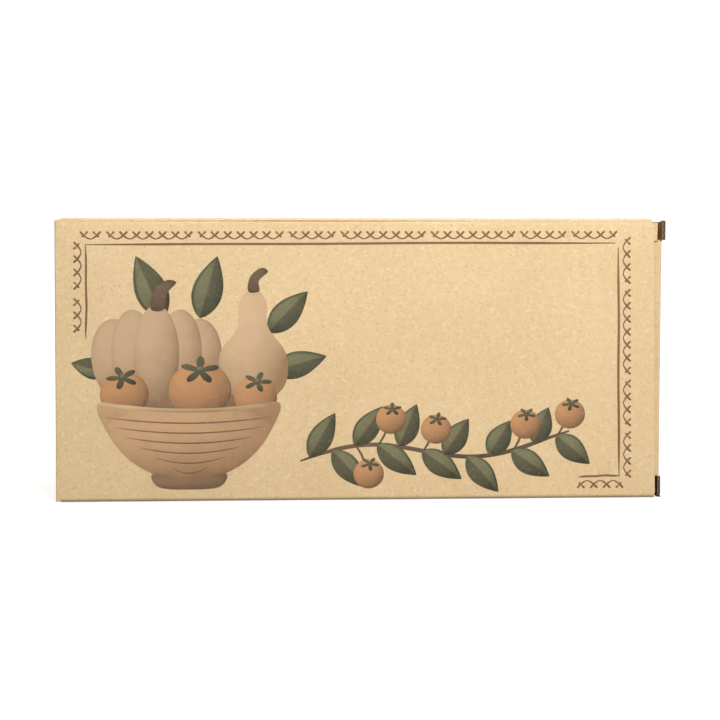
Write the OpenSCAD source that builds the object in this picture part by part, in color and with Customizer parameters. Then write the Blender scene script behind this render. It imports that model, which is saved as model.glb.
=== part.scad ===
// Bunny balance game, packed in its tuck end carton of fluted board.
// X runs along the front panel, Y from the front panel to the back, Z up; the carton stands on z = 0.
// The carton is sized from the game that it holds.

/* [Game] */
// Length of the balance tray
tray_l = 300; // [270:1:340]
// Width of the tray over a lobe
tray_w = 100; // [94:1:120]
// Width of the tray at its waist
waist_w = 62; // [52:1:72]
// Thickness of the tray
tray_t = 12; // [9:0.5:16]
// Width of the rabbit
rabbit_w = 100; // [84:1:108]
// Height of the rabbit without its ears
rabbit_h = 112; // [106:1:130]
// Thickness of the rabbit
rabbit_t = 36; // [28:1:42]
// Radius of the rabbit's cheeks
cheek_r = 36; // [30:1:42]
// Radius of the crown of its head
crown_r = 42; // [36:1:42]
// Radius of the rounded foot that it rocks on
rocker_r = 76; // [70:1:90]
// Height of the tray's underside above the foot
tray_rise = 48; // [42:1:52]
// Height of the ears above the head
ear_rise = 38; // [32:1:46]
// Thickness of an ear
ear_t = 7; // [5:0.5:9]
// Widest radius of an ear
ear_r = 14; // [11:0.5:16]
// Distance of each ear from the middle
ear_x = 20; // [15:1:24]
// Radius of the ring of holes in each lobe
ring_r = 31; // [29:0.5:34]
// Length of a large carrot root
root_l = 46; // [40:1:50]
// Widest radius of a large carrot root
root_r = 13; // [11:0.5:14]
// Radius of the blunt tip of a large root
tip_r = 3.9; // [3:0.1:5]
// Height of the rounded head of a large root
head_h = 12; // [9:0.5:15]
// Length of a large root below the top of the tray
root_sink = 24; // [20:0.5:27]
// Length of the leaves on a large carrot
leaf_l = 24; // [18:1:28]
// Width of the leaves on a large carrot
leaf_w = 10; // [8:0.5:12]
// Thickness of the felt leaves
leaf_t = 1.8; // [1.2:0.1:2.4]

/* [Carton] */
// Thickness of the fluted board
board_t = 1.6; // [1.4:0.1:2]
// Room from each end of the tray to the outside of the closure
end_room = 20; // [19:0.5:30]
// Room beside the tray in front and behind
side_room = 2.4; // [2:0.1:8]
// Room over the ears
head_room = 4.2; // [4:0.1:12]
// Depth of the tuck flaps
tuck_l = 22; // [16:1:26]
// Length of the dust flaps
dust_l = 52; // [40:1:58]
// Length of the lock slits at the ends of each tuck fold
slit_l = 12; // [9:0.5:16]
// How far the upper slit corners spring out
high_flare = 2.4; // [1:0.1:3]
// How far the lower slit corners spring out
low_flare = 0.5; // [0.4:0.1:3]
// Outside radius of the long folds
fold_r = 2.2; // [2.1:0.1:3]

/* [Hidden] */
$fn = 64;
seat_gap = 0.3;
fit = 0.35;
press = 0.1;
fold_gap = 0.25;
closure_gap = 2.6;
raw_setback = 3.2;
tuck_gap = 0.4;
tuck_tilt = 12;
tuck_side = 0.6;
tuck_corner_r = 9;
edge_trim = 1.8;
ledge_set = 0.6;
half_t = board_t / 2;

carton_l = tray_l + 2 * end_room;
carton_d = tray_w + 2 * (side_room + board_t);
carton_h = 2 * board_t + seat_gap + rabbit_h + ear_rise + head_room;

closure_x = carton_l / 2 - half_t;
hinge_y = carton_d / 2 - half_t;
tuck_y = -carton_d / 2 + board_t + tuck_gap + half_t;
ledge_over = tuck_y + carton_d / 2 - ledge_set;
dust_x = closure_x - board_t - closure_gap;
front_in = -carton_d / 2 + board_t;
hinge_end = closure_x - half_t - fold_gap;
raw_end = carton_l / 2 - raw_setback;
dust_end = dust_x - half_t - fold_gap;
mitre = 8;

shoulder_set = 4.6;
dust_set = 6.5;
dust_taper = 0.56;
dust_back_set = 2.8;
dust_corner_r = 5;
glue_w = 24;
glue_set = 6;
glue_clear = 10;
glue_from = -carton_l / 2 + tuck_l + glue_clear;
glue_to = dust_end - glue_set;

foot_z = board_t + seat_gap;
lobe_r = tray_w / 2;
lobe_x = tray_l / 2 - lobe_r;
half_waist = waist_w / 2;
waist_arc = (lobe_x * lobe_x + half_waist * half_waist - lobe_r * lobe_r) / (2 * (lobe_r - half_waist));
waist_share = lobe_r / (lobe_r + waist_arc);
tan_x = lobe_x * (1 - waist_share);
tan_y = (half_waist + waist_arc) * waist_share;
tray_z = foot_z + tray_rise;
tray_top = tray_z + tray_t;

cheek_x = rabbit_w / 2 - cheek_r;
crown_z = rabbit_h - crown_r;
rocker_z = foot_z + rocker_r;

ear_lean = 14;
ear_turn = 34;
ear_tip_r = 10;
ear_tip_drop = 1;
ear_neck = 7;
ear_neck_up = 2;
ear_tenon = 9;
ear_z = crown_z + sqrt(crown_r * crown_r - ear_x * ear_x);

dowel_r = 4;
dowel_x = 26;
dowel_in = 15;

root_ring = ring_r * sqrt(0.5);
carrot_count = 10;
per_lobe = 5;
// For each place in a lobe: x step, y step and size step
places = [[0, 0, 2], [1, 1, 0], [1, -1, 1], [-1, -1, 0], [-1, 1, 1]];
size_factors = [1, 0.88, 0.76];
tip_h = 2.3;
tip_flat_r = 2.4;
belly_z = root_l - head_h;
// The head of a root: share of its radius, share of the head's height
head_shares = [[1, 0], [0.97, 0.35], [0.84, 0.69], [0.6, 1]];
plug_r = 3.4;
plug_in = 8;
plug_up = 2;
cut_over = 1;
outer_leaves = 4;
leaf_lean = 15;
leaf_twist = 37;
leaf_set = 1.2;
mid_leaf_factor = 1.08;
// Where along its length a leaf is cut, is widest, and ends
leaf_cut_at = 0.6;
leaf_wide_at = 0.65;
leaf_end_at = 0.84;
leaf_cut_share = 0.94;

function place(i) = places[(i - 1) % per_lobe];
function side(i) = i > per_lobe ? 1 : -1;
function carrot_x(i) = side(i) * (lobe_x + place(i)[0] * root_ring);
function carrot_y(i) = side(i) * place(i)[1] * root_ring;
function factor(i) = size_factors[place(i)[2]];
function long_of(i) = root_l * factor(i);
function seat_r() = tip_r + (root_r - tip_r) * (root_sink - tip_h) / (belly_z - tip_h);
function hole_of(i) = seat_r() * factor(i) + fit;
function carrot_z(i) = tray_top - root_sink * factor(i);

kraft = [0.82, 0.68, 0.48];
wood = [0.84, 0.70, 0.50];
fur = [0.70, 0.62, 0.53];
ear_brown = [0.55, 0.42, 0.32];
carrot_red = [0.76, 0.40, 0.22];
leaf_green = [0.18, 0.30, 0.20];

// Carton sleeve

module rounded(w, h, r) {
    square([w - 2 * r, h], center = true);
    square([w, h - 2 * r], center = true);
    for (sx = [-1, 1])
        for (sy = [-1, 1])
            translate([sx * (w / 2 - r), sy * (h / 2 - r)])
                circle(r);
}

module sleeve_ring() {
    translate([0, carton_h / 2])
        difference() {
            rounded(carton_d, carton_h, fold_r);
            rounded(carton_d - 2 * board_t, carton_h - 2 * board_t, fold_r - board_t);
        }
}

module panel(section_points, from_x, to_x) {
    color(kraft)
        translate([from_x, 0, 0])
            rotate([90, 0, 90])
                linear_extrude(to_x - from_x)
                    intersection() {
                        sleeve_ring();
                        polygon(section_points);
                    }
}

module front_panel() {
    y = -carton_d / 2;
    panel([[y, 0], [y + mitre, mitre], [y + mitre, carton_h - mitre], [y, carton_h]],
        -hinge_end, raw_end);
}

module back_panel() {
    y = carton_d / 2;
    panel([[y, 0], [y, carton_h], [y - mitre, carton_h - mitre], [y - mitre, mitre]],
        -raw_end, hinge_end);
}

module top_panel() {
    y = carton_d / 2;
    panel([[-y, carton_h], [-y + mitre, carton_h - mitre], [y - mitre, carton_h - mitre], [y, carton_h]],
        -dust_end, dust_end);
}

module bottom_panel() {
    y = carton_d / 2;
    panel([[-y, 0], [y, 0], [y - mitre, mitre], [-y + mitre, mitre]], -dust_end, dust_end);
}

module glue_flap() {
    color(kraft)
        translate([glue_from, carton_d / 2 - fold_r - glue_w, board_t])
            cube([glue_to - glue_from, glue_w, board_t]);
}

// End closures, drawn for the right end

module closure_middle() {
    translate([closure_x - half_t, tuck_y])
        square([board_t, hinge_y - tuck_y]);
    translate([closure_x, hinge_y])
        circle(half_t);
    translate([closure_x, tuck_y])
        circle(half_t);
}

module closure_corner(flare) {
    translate([closure_x - half_t, tuck_y + slit_l])
        square([board_t, hinge_y - tuck_y - slit_l]);
    translate([closure_x, hinge_y])
        circle(half_t);
    y = -carton_d / 2 + ledge_set;
    x = closure_x - half_t;
    polygon([[x, tuck_y + slit_l], [x + board_t, tuck_y + slit_l],
        [x + board_t + flare, y], [x + flare, y]]);
}

module closure() {
    color(kraft)
        union() {
            translate([0, 0, slit_l])
                linear_extrude(carton_h - 2 * slit_l)
                    closure_middle();
            translate([0, 0, edge_trim])
                linear_extrude(slit_l - edge_trim)
                    closure_corner(low_flare);
            translate([0, 0, carton_h - slit_l])
                linear_extrude(slit_l - edge_trim)
                    closure_corner(high_flare);
        }
}

module tuck_outline() {
    low = board_t + tuck_side;
    high = carton_h - board_t - tuck_side;
    start = half_t + fold_gap;
    free = ledge_over + tuck_gap;
    translate([start, slit_l])
        square([tuck_l - start, carton_h - 2 * slit_l]);
    translate([free, low])
        square([tuck_l - tuck_corner_r - free, high - low]);
    translate([free, low + tuck_corner_r])
        square([tuck_l - free, high - low - 2 * tuck_corner_r]);
    for (z = [low + tuck_corner_r, high - tuck_corner_r])
        translate([tuck_l - tuck_corner_r, z])
            circle(tuck_corner_r);
}

module tuck() {
    color(kraft)
        translate([closure_x, tuck_y, 0])
            rotate([0, 0, 180 - tuck_tilt])
                rotate([90, 0, 0])
                    translate([0, 0, -half_t])
                        linear_extrude(board_t)
                            tuck_outline();
}

module dust_outline() {
    back = hinge_y - dust_back_set;
    front = front_in + dust_set;
    low = dust_l - dust_corner_r;
    hull() {
        polygon([[front, 0], [back, 0], [back - dust_taper * slit_l, slit_l], [front, slit_l]]);
        translate([front + dust_corner_r, low])
            circle(dust_corner_r, $fn = 32);
        translate([back - dust_taper * dust_l - dust_corner_r, low])
            circle(dust_corner_r, $fn = 32);
    }
    translate([front_in + shoulder_set, 0])
        square([dust_set, slit_l]);
}

module dust() {
    from_y = front_in + shoulder_set;
    color(kraft)
        translate([dust_x, 0, half_t])
            union() {
                translate([-half_t, 0, 0])
                    rotate([90, 0, 90])
                        linear_extrude(board_t)
                            dust_outline();
                translate([0, from_y, 0])
                    rotate([-90, 0, 0])
                        cylinder(r = half_t, h = hinge_y - dust_back_set - from_y);
            }
}

module dust_high() {
    translate([0, 0, carton_h])
        mirror([0, 0, 1])
            dust();
}

module right_closure() {
    closure();
}

module right_tuck() {
    tuck();
}

module right_dust_top() {
    dust_high();
}

module right_dust_bottom() {
    dust();
}

module left_closure() {
    rotate([0, 0, 180])
        closure();
}

module left_tuck() {
    rotate([0, 0, 180])
        tuck();
}

module left_dust_top() {
    rotate([0, 0, 180])
        dust_high();
}

module left_dust_bottom() {
    rotate([0, 0, 180])
        dust();
}

// Game

module tray_outline() {
    difference() {
        union() {
            for (sx = [-1, 1])
                translate([sx * lobe_x, 0])
                    circle(lobe_r, $fn = 128);
            square([2 * tan_x, 2 * tan_y], center = true);
        }
        for (sy = [-1, 1])
            translate([0, sy * (half_waist + waist_arc)])
                circle(waist_arc, $fn = 256);
        for (i = [1 : carrot_count])
            translate([carrot_x(i), carrot_y(i)])
                circle(hole_of(i));
        for (sx = [-1, 1])
            translate([sx * dowel_x, 0])
                circle(dowel_r + press);
    }
}

module balance_tray() {
    color(wood)
        translate([0, 0, tray_z])
            linear_extrude(tray_t)
                tray_outline();
}

module rabbit_outline() {
    hull() {
        for (sx = [-1, 1])
            translate([sx * cheek_x, cheek_r])
                circle(cheek_r, $fn = 96);
        translate([0, crown_z])
            circle(crown_r, $fn = 96);
    }
}

module rabbit_block(from_z, to_z) {
    intersection() {
        translate([0, rabbit_t / 2, foot_z])
            rotate([90, 0, 0])
                linear_extrude(rabbit_t)
                    rabbit_outline();
        translate([0, rabbit_t, rocker_z])
            rotate([90, 0, 0])
                cylinder(r = rocker_r, h = 2 * rabbit_t, $fn = 128);
        translate([-rabbit_w, -rabbit_w, from_z])
            cube([2 * rabbit_w, 2 * rabbit_w, to_z - from_z]);
    }
}

module crown_block() {
    intersection() {
        translate([0, rabbit_t / 2, foot_z])
            rotate([90, 0, 0])
                linear_extrude(rabbit_t)
                    rabbit_outline();
        translate([-rabbit_w, -rabbit_w, tray_top])
            cube([2 * rabbit_w, 2 * rabbit_w, rabbit_h]);
    }
}

module dowel(side_sign, radius) {
    translate([side_sign * dowel_x, 0, tray_z - dowel_in])
        cylinder(r = radius, h = tray_t + 2 * dowel_in);
}

module rabbit_lower() {
    color(fur)
        difference() {
            rabbit_block(0, tray_z);
            dowel(-1, dowel_r + press);
            dowel(1, dowel_r + press);
        }
}

module rabbit_upper() {
    color(fur)
        difference() {
            crown_block();
            dowel(-1, dowel_r + press);
            dowel(1, dowel_r + press);
            ear_socket(-1);
            ear_socket(1);
        }
}

module waist_dowel_1() {
    color(wood)
        dowel(-1, dowel_r);
}

module waist_dowel_2() {
    color(wood)
        dowel(1, dowel_r);
}

module at_ear(side_sign) {
    translate([side_sign * ear_x, 0, foot_z + ear_z])
        rotate([0, side_sign * ear_lean, 0])
            rotate([0, 0, side_sign * ear_turn])
                children();
}

module ear_socket(side_sign) {
    at_ear(side_sign)
        translate([0, 0, -ear_tenon / 2])
            cube([2 * ear_neck + 2 * press, ear_t + 2 * press, ear_tenon + 2 * press], center = true);
    at_ear(side_sign)
        translate([0, 0, ear_r])
            cube([2 * ear_neck + 2 * press, ear_t + 2 * press, 2 * ear_r], center = true);
}

module ear(side_sign) {
    rise = ear_rise + (rabbit_h - ear_z);
    neck_z = ear_neck + ear_neck_up;
    color(ear_brown)
        at_ear(side_sign)
            translate([0, ear_t / 2, 0])
                rotate([90, 0, 0])
                    linear_extrude(ear_t)
                        union() {
                            hull() {
                                translate([0, rise - ear_tip_r - ear_tip_drop])
                                    circle(ear_tip_r, $fn = 48);
                                translate([0, rise / 2])
                                    circle(ear_r, $fn = 48);
                                translate([0, neck_z])
                                    circle(ear_neck, $fn = 48);
                            }
                            translate([-ear_neck, -ear_tenon])
                                square([2 * ear_neck, ear_tenon + neck_z]);
                        }
}

module ear_left() {
    ear(-1);
}

module ear_right() {
    ear(1);
}

// Carrots

module root_outline() {
    foot = [[0, 0], [tip_flat_r, 0], [tip_r, tip_h]];
    head = [for (p = head_shares) [p[0] * root_r, belly_z + p[1] * head_h]];
    polygon(concat(foot, head, [[0, root_l]]));
}

module carrot_root(i) {
    color(carrot_red)
        translate([carrot_x(i), carrot_y(i), carrot_z(i)])
            difference() {
                rotate_extrude()
                    scale(factor(i))
                        root_outline();
                translate([0, 0, long_of(i) - plug_in])
                    cylinder(r = plug_r + press, h = plug_in + cut_over);
            }
}

module leaf_outline(l, w) {
    cut_w = leaf_cut_share * w;
    polygon([[-leaf_t, 0], [leaf_t, 0], [cut_w / 2, leaf_cut_at * l], [-cut_w / 2, leaf_cut_at * l]]);
    translate([0, leaf_wide_at * l])
        circle(w / 2);
    translate([0, leaf_end_at * l])
        circle((1 - leaf_end_at) * l);
}

module leaf(l, w) {
    rotate([90, 0, 0])
        linear_extrude(leaf_t, center = true)
            leaf_outline(l, w);
}

module carrot_leaves(i) {
    l = leaf_l * factor(i);
    w = leaf_w * factor(i);
    color(leaf_green)
        translate([carrot_x(i), carrot_y(i), carrot_z(i) + long_of(i)])
            union() {
                translate([0, 0, -plug_in])
                    cylinder(r = plug_r, h = plug_in + plug_up);
                for (k = [0 : outer_leaves - 1])
                    rotate([0, 0, 360 / outer_leaves * k + leaf_twist * i])
                        translate([leaf_set, 0, 0])
                            rotate([0, leaf_lean, 0])
                                rotate([0, 0, 90])
                                    leaf(l, w);
                rotate([0, 0, 180 / outer_leaves + leaf_twist * i])
                    leaf(mid_leaf_factor * l, mid_leaf_factor * w);
            }
}

front_panel();
back_panel();
top_panel();
bottom_panel();
glue_flap();
right_closure();
right_tuck();
right_dust_top();
right_dust_bottom();
left_closure();
left_tuck();
left_dust_top();
left_dust_bottom();
balance_tray();
rabbit_lower();
rabbit_upper();
waist_dowel_1();
waist_dowel_2();
ear_left();
ear_right();
for (i = [1 : carrot_count])
    carrot_root(i);
for (i = [1 : carrot_count])
    carrot_leaves(i);
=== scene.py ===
import math
import bpy
from mathutils import Matrix, Vector


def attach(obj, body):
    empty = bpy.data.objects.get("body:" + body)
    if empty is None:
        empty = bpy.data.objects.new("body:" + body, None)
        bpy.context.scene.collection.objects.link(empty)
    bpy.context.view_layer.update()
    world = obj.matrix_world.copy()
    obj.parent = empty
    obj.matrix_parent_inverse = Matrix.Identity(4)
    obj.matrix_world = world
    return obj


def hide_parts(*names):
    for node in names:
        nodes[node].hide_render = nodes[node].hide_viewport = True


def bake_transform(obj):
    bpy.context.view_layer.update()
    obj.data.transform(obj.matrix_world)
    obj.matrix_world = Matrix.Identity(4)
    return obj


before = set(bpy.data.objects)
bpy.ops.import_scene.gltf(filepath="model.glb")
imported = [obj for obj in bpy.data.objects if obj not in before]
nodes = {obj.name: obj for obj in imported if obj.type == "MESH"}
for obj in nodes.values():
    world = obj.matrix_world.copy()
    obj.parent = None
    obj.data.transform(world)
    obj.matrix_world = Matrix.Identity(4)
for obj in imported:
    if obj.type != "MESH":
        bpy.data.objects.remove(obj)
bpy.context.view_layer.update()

# Sizes in millimetres, as the CAD has them
MM = 0.001
HALF_L, HALF_D, HIGH, BOARD = 170.0, 54.0, 157.7, 1.6
# Outer and inner radius of a fold
FOLD_R, FOLD_IN = 2.2, 0.6
# Where a wall ends at its hinge and at its raw edge, and the lid at its dust flaps
HINGE_END, RAW_END, DUST_END = 168.15, 166.8, 163.95
# Fold lines of the closure, the tuck and the dust flaps
PIVOT_X, HINGE_Y, TUCK_Y, DUST_X = 169.2, 53.2, -51.2, 165.0
TUCK_TILT = math.radians(12)
# Lengths of the flaps, and of the slits with their lock corners
TUCK_L, DUST_L, SLIT, TRIM, LEDGE_SET = 22.0, 52.0, 12.0, 1.8, 0.6
HIGH_FLARE, LOW_FLARE = 2.4, 0.5
# Heights of the tray and of the rabbit's foot, and the radius that it rocks on
TRAY_LOW, TRAY_TOP, FOOT, ROCK_R = 49.9, 61.9, 1.9, 76.0
# Lobes and waist of the tray, and where they meet
LOBE_X, LOBE_R, LOBE_TURN, WAIST_Y, WAIST_R = 100, 50, 111.5, 253.66, 222.66
MEET_X, MEET_Y = 81.66, 46.52
# A large carrot: its length, its widest radius and its depth below the top of the tray
ROOT_L, ROOT_R, ROOT_SINK = 46.0, 13.0, 24
HOLE_STEP, HOLE_R, HOLE_ROOM = 21.92, 10.13, 0.35

# Turns of a flat outline: upright facing the front, and with its depth along the carton
UPRIGHT = Matrix.Rotation(math.pi / 2, 4, "X")
ALONG_X = Matrix.Rotation(math.pi / 2, 4, "Z") @ UPRIGHT
HALF_TURN = Matrix.Rotation(math.pi, 4, "Z")


# Modelling helpers

def pick(*objs):
    bpy.ops.object.select_all(action="DESELECT")
    for obj in objs:
        obj.select_set(True)
    bpy.context.view_layer.objects.active = objs[0]


def at(x, y, z):
    return Matrix.Translation((x * MM, y * MM, z * MM))


def outline(name, loops, depth=0.0, edge=0.0, steps=3):
    """A filled flat curve; depth is the full thickness and edge the rounding, which adds to the outline."""
    curve = bpy.data.curves.new(name, "CURVE")
    curve.dimensions = "2D"
    curve.fill_mode = "BOTH"
    curve.extrude = max(depth / 2 - edge, 0) * MM
    curve.bevel_depth = edge * MM
    curve.bevel_resolution = steps
    for loop in loops:
        spline = curve.splines.new("POLY")
        spline.points.add(len(loop) - 1)
        for point, (x, y) in zip(spline.points, loop):
            point.co = (x * MM, y * MM, 0, 1)
        spline.use_cyclic_u = True
    obj = bpy.data.objects.new(name, curve)
    bpy.context.collection.objects.link(obj)
    return obj


def settle(objs, matrix, name=None):
    """Curves become one mesh at its place, welded and with its place applied."""
    pick(*objs)
    bpy.ops.object.convert(target="MESH")
    if len(objs) > 1:
        bpy.ops.object.join()
    obj = bpy.context.object
    obj.matrix_world = matrix
    bpy.ops.object.transform_apply(location=True, rotation=True, scale=True)
    bpy.ops.object.mode_set(mode="EDIT")
    bpy.ops.mesh.select_all(action="SELECT")
    bpy.ops.mesh.remove_doubles(threshold=1e-6)
    bpy.ops.mesh.normals_make_consistent(inside=False)
    bpy.ops.object.mode_set(mode="OBJECT")
    if name:
        obj.name = obj.data.name = name
    return obj


def dress(obj, material, smooth=35):
    pick(obj)
    bpy.ops.object.shade_smooth_by_angle(angle=math.radians(smooth))
    obj.data.materials.clear()
    obj.data.materials.append(material)
    return obj


def give(obj, body, stands_for=()):
    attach(obj, body)
    if stands_for:
        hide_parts(*stands_for)
    return obj


def solid(name, loops, depth, matrix, material, body, stands_for=(), edge=0.0):
    obj = settle([outline(name, loops, depth, edge)], matrix)
    return give(dress(obj, material), body, stands_for)


def arc(cx, cy, r, a0, a1, n):
    out = []
    for i in range(n + 1):
        a = math.radians(a0 + (a1 - a0) * i / n)
        out.append((cx + r * math.cos(a), cy + r * math.sin(a)))
    return out


def ring(cx, cy, r, n=48, clockwise=False):
    loop = arc(cx, cy, r, 0, 360, n)[:-1]
    return loop[::-1] if clockwise else loop


def hull(points):
    points = sorted(set((round(x, 5), round(y, 5)) for x, y in points))

    def half(order):
        line = []
        for p in order:
            while len(line) > 1 and ((line[-1][0] - line[-2][0]) * (p[1] - line[-2][1])
                                     - (line[-1][1] - line[-2][1]) * (p[0] - line[-2][0])) <= 0:
                line.pop()
            line.append(p)
        return line[:-1]

    return half(points) + half(points[::-1])


def turned(points, x, z, degrees):
    """Points turned about the origin and then moved to x and z."""
    c, s = math.cos(math.radians(degrees)), math.sin(math.radians(degrees))
    return [(x + c * u - s * v, z + s * u + c * v) for u, v in points]


def stroke(points, width, fine=0.35, swell=0.0):
    """A brush line, thin at both ends; swell thickens its outer parts and thins its middle."""
    left, right = [], []
    last = len(points) - 1
    for i, (x, z) in enumerate(points):
        x0, z0 = points[max(i - 1, 0)]
        x1, z1 = points[min(i + 1, last)]
        long = math.hypot(x1 - x0, z1 - z0) or 1.0
        w = width / 2 * (fine + (1 - fine) * min(1.0, 7 * min(i, last - i) / last))
        w *= 1 + swell * (abs(2 * i / last - 1) - 0.5)
        left.append((x - (z1 - z0) / long * w, z + (x1 - x0) / long * w))
        right.append((x + (z1 - z0) / long * w, z - (x1 - x0) / long * w))
    return left + right[::-1]


# Shader helpers

def srgb(r, g, b):
    line = []
    for c in (r / 255, g / 255, b / 255):
        line.append(c / 12.92 if c <= 0.04045 else ((c + 0.055) / 1.055) ** 2.4)
    return (*line, 1.0)


def add(tree, kind, inputs=None, **settings):
    node = tree.nodes.new("ShaderNode" + kind)
    for key, value in settings.items():
        setattr(node, key, value)
    for key, value in (inputs or {}).items():
        if isinstance(value, bpy.types.NodeSocket):
            tree.links.new(value, node.inputs[key])
        else:
            node.inputs[key].default_value = value
    return node


def mix(tree, factor, a, b):
    return add(tree, "Mix", {0: factor, 6: a, 7: b}, data_type="RGBA").outputs[2]


def between(tree, value, low, high, top=1.0, bottom=0.0):
    return add(tree, "MapRange", {"Value": value, "From Min": low, "From Max": high,
                                  "To Min": bottom, "To Max": top}).outputs["Result"]


def math_node(tree, operation, a, b):
    return add(tree, "Math", {0: a, 1: b}, operation=operation).outputs[0]


def noise(tree, where, scale, detail=2.0, rough=0.5, shift=(0, 0, 0), warp=0.0):
    place = add(tree, "Mapping", {"Vector": where, "Scale": scale, "Location": shift})
    return add(tree, "TexNoise", {"Vector": place.outputs[0], "Scale": 1.0, "Detail": detail,
                                  "Roughness": rough, "Distortion": warp}).outputs["Fac"]


def group(name, inputs, outputs):
    tree = bpy.data.node_groups.new(name, "ShaderNodeTree")
    for label, kind in inputs:
        tree.interface.new_socket(label, in_out="INPUT", socket_type=kind)
    for label in outputs:
        tree.interface.new_socket(label, in_out="OUTPUT", socket_type="NodeSocketFloat")
    return tree, tree.nodes.new("NodeGroupInput"), tree.nodes.new("NodeGroupOutput")


def use(tree, name):
    node = tree.nodes.new("ShaderNodeGroup")
    node.node_tree = bpy.data.node_groups[name]
    return node


def material(name, rough, specular=0.3):
    mat = bpy.data.materials.new(name)
    mat.use_nodes = True
    shader = mat.node_tree.nodes["Principled BSDF"]
    shader.inputs["Roughness"].default_value = rough
    shader.inputs["Specular IOR Level"].default_value = specular
    return mat, mat.node_tree, shader


def looked_at(tree):
    """1 for a surface seen straight, in a gloss or through glass, and 0 where it only lights others."""
    path = add(tree, "LightPath").outputs
    straight = math_node(tree, "MAXIMUM", path["Is Camera Ray"], path["Is Glossy Ray"])
    return math_node(tree, "MAXIMUM", straight, path["Is Transmission Ray"])


def bump(tree, shader, height, strength, distance):
    node = add(tree, "Bump", {"Height": height, "Strength": strength, "Distance": distance})
    tree.links.new(node.outputs[0], shader.inputs["Normal"])


# Shared effects

def board_fibre():
    tree, _, out = group("board_fibre", [], ["Cloud", "Pale", "Dark", "Height"])
    where = add(tree, "TexCoord").outputs["Object"]
    broad = noise(tree, where, (14, 18, 18), 4, 0.6)
    close = noise(tree, where, (210, 260, 260), 3, 0.65, shift=(2, 8, 4))
    cloud = math_node(tree, "ADD", math_node(tree, "MULTIPLY", broad, 0.5), math_node(tree, "MULTIPLY", close, 0.5))
    pale = noise(tree, where, (520, 620, 620), 2, 0.6, shift=(3, 1, 7), warp=0.6)
    dark = noise(tree, where, (600, 720, 720), 2, 0.6, shift=(9, 5, 2), warp=0.6)
    tooth = noise(tree, where, (1500, 1900, 1900), 2)
    tree.links.new(between(tree, cloud, 0.36, 0.64), out.inputs["Cloud"])
    tree.links.new(between(tree, pale, 0.56, 0.76), out.inputs["Pale"])
    tree.links.new(between(tree, dark, 0.56, 0.77), out.inputs["Dark"])
    tree.links.new(math_node(tree, "ADD", tooth, pale), out.inputs["Height"])


def wood_grain():
    tree, given, out = group("wood_grain", [("Stretch", "NodeSocketVector")], ["Band", "Pore", "Height"])
    where = add(tree, "TexCoord").outputs["Object"]
    long = add(tree, "VectorMath", {0: where, 1: given.outputs["Stretch"]}, operation="MULTIPLY").outputs[0]
    band = noise(tree, long, (1, 1, 1), 4, 0.55, warp=0.7)
    pore = noise(tree, long, (11, 11, 11), 2, 0.6, shift=(4, 4, 4))
    tree.links.new(between(tree, band, 0.3, 0.7), out.inputs["Band"])
    tree.links.new(between(tree, pore, 0.56, 0.74), out.inputs["Pore"])
    tree.links.new(math_node(tree, "ADD", band, pore), out.inputs["Height"])


def felt_fuzz():
    tree, _, out = group("felt_fuzz", [], ["Tone", "Fuzz", "Height"])
    where = add(tree, "TexCoord").outputs["Object"]
    tone = noise(tree, where, (160, 160, 160), 3)
    fuzz = noise(tree, where, (2400, 2400, 1500), 3, 0.7, warp=1.2)
    tree.links.new(between(tree, tone, 0.3, 0.7), out.inputs["Tone"])
    tree.links.new(between(tree, fuzz, 0.5, 0.75), out.inputs["Fuzz"])
    tree.links.new(fuzz, out.inputs["Height"])


def form_light():
    """How far a printed form faces its light, high on the left; each shape carries its middle and half sizes."""
    tree, _, out = group("form_light", [], ["Lit"])
    where = add(tree, "TexCoord").outputs["Object"]
    middle = add(tree, "Attribute", attribute_name="form_middle").outputs["Vector"]
    half = add(tree, "Attribute", attribute_name="form_half").outputs["Vector"]
    off = add(tree, "VectorMath", {0: where, 1: middle}, operation="SUBTRACT").outputs[0]
    off = add(tree, "VectorMath", {0: off, 1: half}, operation="DIVIDE").outputs[0]
    off = add(tree, "VectorMath", {0: off, 1: (1, 0, 1)}, operation="MULTIPLY").outputs[0]
    squared = add(tree, "VectorMath", {0: off, 1: off}, operation="DOT_PRODUCT").outputs["Value"]
    left = math_node(tree, "MAXIMUM", math_node(tree, "SUBTRACT", 1.0, squared), 0.0)
    facing = math_node(tree, "SQRT", left, 0.0)
    side = add(tree, "VectorMath", {0: off, 1: (-0.42, 0, 0.58)}, operation="DOT_PRODUCT").outputs["Value"]
    mottle = noise(tree, where, (90, 110, 110), 5, 0.62, shift=(2, 8, 4))
    lit = math_node(tree, "ADD", math_node(tree, "MULTIPLY", facing, 0.7), side)
    lit = math_node(tree, "ADD", lit, between(tree, mottle, 0.25, 0.75, 0.16, -0.16))
    tree.links.new(between(tree, lit, -0.35, 0.95), out.inputs["Lit"])


board_fibre()
wood_grain()
felt_fuzz()
form_light()


# Materials

def board_colour(tree, fibre, low, high, pale, dark):
    base = mix(tree, fibre.outputs["Cloud"], low, high)
    base = mix(tree, math_node(tree, "MULTIPLY", fibre.outputs["Pale"], 0.56), base, pale)
    return mix(tree, math_node(tree, "MULTIPLY", fibre.outputs["Dark"], 0.45), base, dark)


def board_material(name, low, high, pale, dark):
    """Fluted board; its lowest 0.9 mm is painted darker towards the ground, as painted shade along the foot of the
    carton.
    """
    mat, tree, shader = material(name, 0.82, 0.2)
    fibre = use(tree, "board_fibre")
    colour = board_colour(tree, fibre, srgb(*low), srgb(*high), srgb(*pale), srgb(*dark))
    where = add(tree, "SeparateXYZ", {0: add(tree, "TexCoord").outputs["Object"]})
    # Painted shade: darker towards the ground over the lowest 0.9 mm of the board.
    painted_foot_shade = between(tree, where.outputs["Z"], 0.0, 0.0009, 0.0, 0.5)
    tree.links.new(mix(tree, painted_foot_shade, colour, srgb(120, 100, 74)), shader.inputs["Base Color"])
    bump(tree, shader, fibre.outputs["Height"], 0.25, 0.0002)
    return mat


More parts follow.
